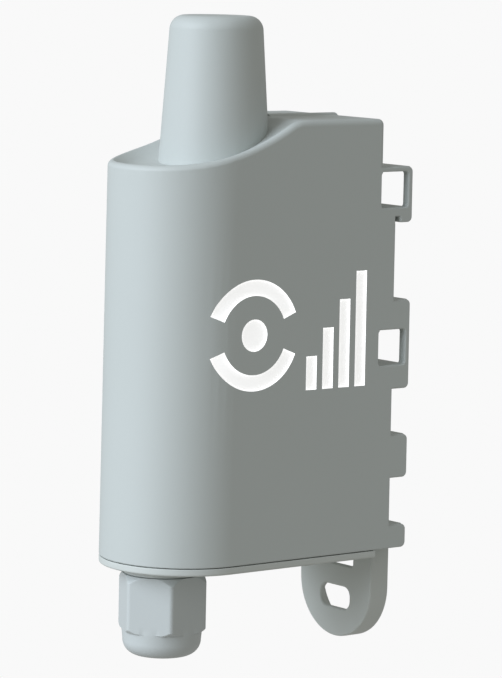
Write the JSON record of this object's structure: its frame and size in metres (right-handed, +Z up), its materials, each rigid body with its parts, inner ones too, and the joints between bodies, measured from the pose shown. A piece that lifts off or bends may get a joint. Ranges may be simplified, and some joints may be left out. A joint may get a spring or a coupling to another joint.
{
  "type": "current sensor transmitter housing",
  "caption": "Slim wall, pole or rail mounted wireless sensor housing with an aerial dome, a cable gland and a screw-terminal board inside.",
  "frame": {"origin": "centre of the lug's screw slot, on the wall plane behind the device", "axes": "+Z up along the device, -Y out of the wall towards the round front, X across the thickness"},
  "size_m": [0.027, 0.05, 0.1049],
  "materials": {
    "case_shell": "light grey weatherproof plastic with a fine even texture",
    "case_base": "light grey weatherproof plastic with a fine even texture",
    "nut_plastic": "light grey nylon, smoother than the case",
    "claw_plastic": "white nylon",
    "seal_rubber": "black rubber",
    "sleeve_rubber": "black soft rubber",
    "screw_steel": "turned stainless steel",
    "board_laminate": "green solder mask over laminate",
    "coil_wire": "plated spring wire",
    "cell_wrap": "shrunk sleeve",
    "clip_metal": "nickel-plated spring sheet",
    "lead_jacket": "soft jacket",
    "plug_plastic": "natural nylon",
    "shield_metal": "tinned sheet",
    "chip_black": "moulded epoxy",
    "capacitor_sleeve": "shrunk sleeve",
    "terminal_plastic": "green nylon",
    "terminal_metal": "nickel-plated steel",
    "reed_glass": "green-tinted glass tube",
    "lamp_resin": "clear yellow resin",
    "chip_tan": "ceramic",
    "header_black": "moulded nylon with plated pins"
  },
  "bodies": {
    "base": {"lower_case": "case_base", "case_seal": "seal_rubber", "gland_claw": "claw_plastic", "gland_seal": "sleeve_rubber", "main_board": "board_laminate", "board_screws": "screw_steel", "aerial_coil": "coil_wire", "power_cell": "cell_wrap", "cell_clips": "clip_metal", "cell_leads": "lead_jacket", "cell_plug": "plug_plastic", "cell_socket": "plug_plastic", "radio_module": "shield_metal", "controller_chip": "chip_black", "buffer_capacitor": "capacitor_sleeve", "terminal_block": "terminal_plastic", "reed_switch": "reed_glass", "status_lights": "lamp_resin", "small_parts": "chip_tan", "service_header": "header_black"},
    "housing": {"upper_case": "case_shell"},
    "press_ring": {"gland_ring": "claw_plastic"},
    "nut": {"gland_nut": "nut_plastic"},
    "screw_ring_1": {"screw_seal_1": "seal_rubber"},
    "closing_screw_1": {"case_screw_1": "screw_steel"},
    "screw_ring_2": {"screw_seal_2": "seal_rubber"},
    "closing_screw_2": {"case_screw_2": "screw_steel"},
    "terminal_screw_1": {"terminal_screw_1": "terminal_metal"},
    "clamp_cage_1": {"clamp_cage_1": "terminal_metal"},
    "terminal_screw_2": {"terminal_screw_2": "terminal_metal"},
    "clamp_cage_2": {"clamp_cage_2": "terminal_metal"}
  },
  "joints": [
    {"name": "case_lift", "type": "slide", "parent": "base", "child": "housing", "axis": [0, 0, 1], "range_m": [0, 0.09]},
    {"name": "gland_travel", "type": "slide", "parent": "base", "child": "press_ring", "axis": [0, 0, -1], "range_m": [0, 0.006]},
    {"name": "gland_nut_turn", "type": "hinge", "parent": "press_ring", "child": "nut", "pos_m": [0, -0.0402, 0], "axis": [0, 0, -1], "range_deg": [0, 1440]},
    {"name": "screw_travel_1", "type": "slide", "parent": "base", "child": "screw_ring_1", "axis": [0, 0, -1], "range_m": [0, 0.012]},
    {"name": "screw_turn_1", "type": "hinge", "parent": "screw_ring_1", "child": "closing_screw_1", "pos_m": [0.0085, -0.0275, 0], "axis": [0, 0, -1], "range_deg": [0, 5400]},
    {"name": "screw_travel_2", "type": "slide", "parent": "base", "child": "screw_ring_2", "axis": [0, 0, -1], "range_m": [0, 0.012]},
    {"name": "screw_turn_2", "type": "hinge", "parent": "screw_ring_2", "child": "closing_screw_2", "pos_m": [-0.0085, -0.013, 0], "axis": [0, 0, -1], "range_deg": [0, 5400]},
    {"name": "terminal_turn_1", "type": "hinge", "parent": "base", "child": "terminal_screw_1", "pos_m": [0, -0.03915, 0.0234], "axis": [1, 0, 0], "range_deg": [0, 1260]},
    {"name": "cage_travel_1", "type": "slide", "parent": "base", "child": "clamp_cage_1", "axis": [-1, 0, 0], "range_m": [0, 0.0014]},
    {"name": "terminal_turn_2", "type": "hinge", "parent": "base", "child": "terminal_screw_2", "pos_m": [0, -0.03565, 0.0234], "axis": [1, 0, 0], "range_deg": [0, 1260]},
    {"name": "cage_travel_2", "type": "slide", "parent": "base", "child": "clamp_cage_2", "axis": [-1, 0, 0], "range_m": [0, 0.0014]}
  ],
  "couplings": [
    {"joint": "gland_nut_turn", "follows": "gland_travel", "rad_per_m": 4188},
    {"joint": "screw_turn_1", "follows": "screw_travel_1", "rad_per_m": 7853},
    {"joint": "screw_turn_2", "follows": "screw_travel_2", "rad_per_m": 7853},
    {"joint": "terminal_turn_1", "follows": "cage_travel_1", "rad_per_m": 15700},
    {"joint": "terminal_turn_2", "follows": "cage_travel_2", "rad_per_m": 15700}
  ]
}
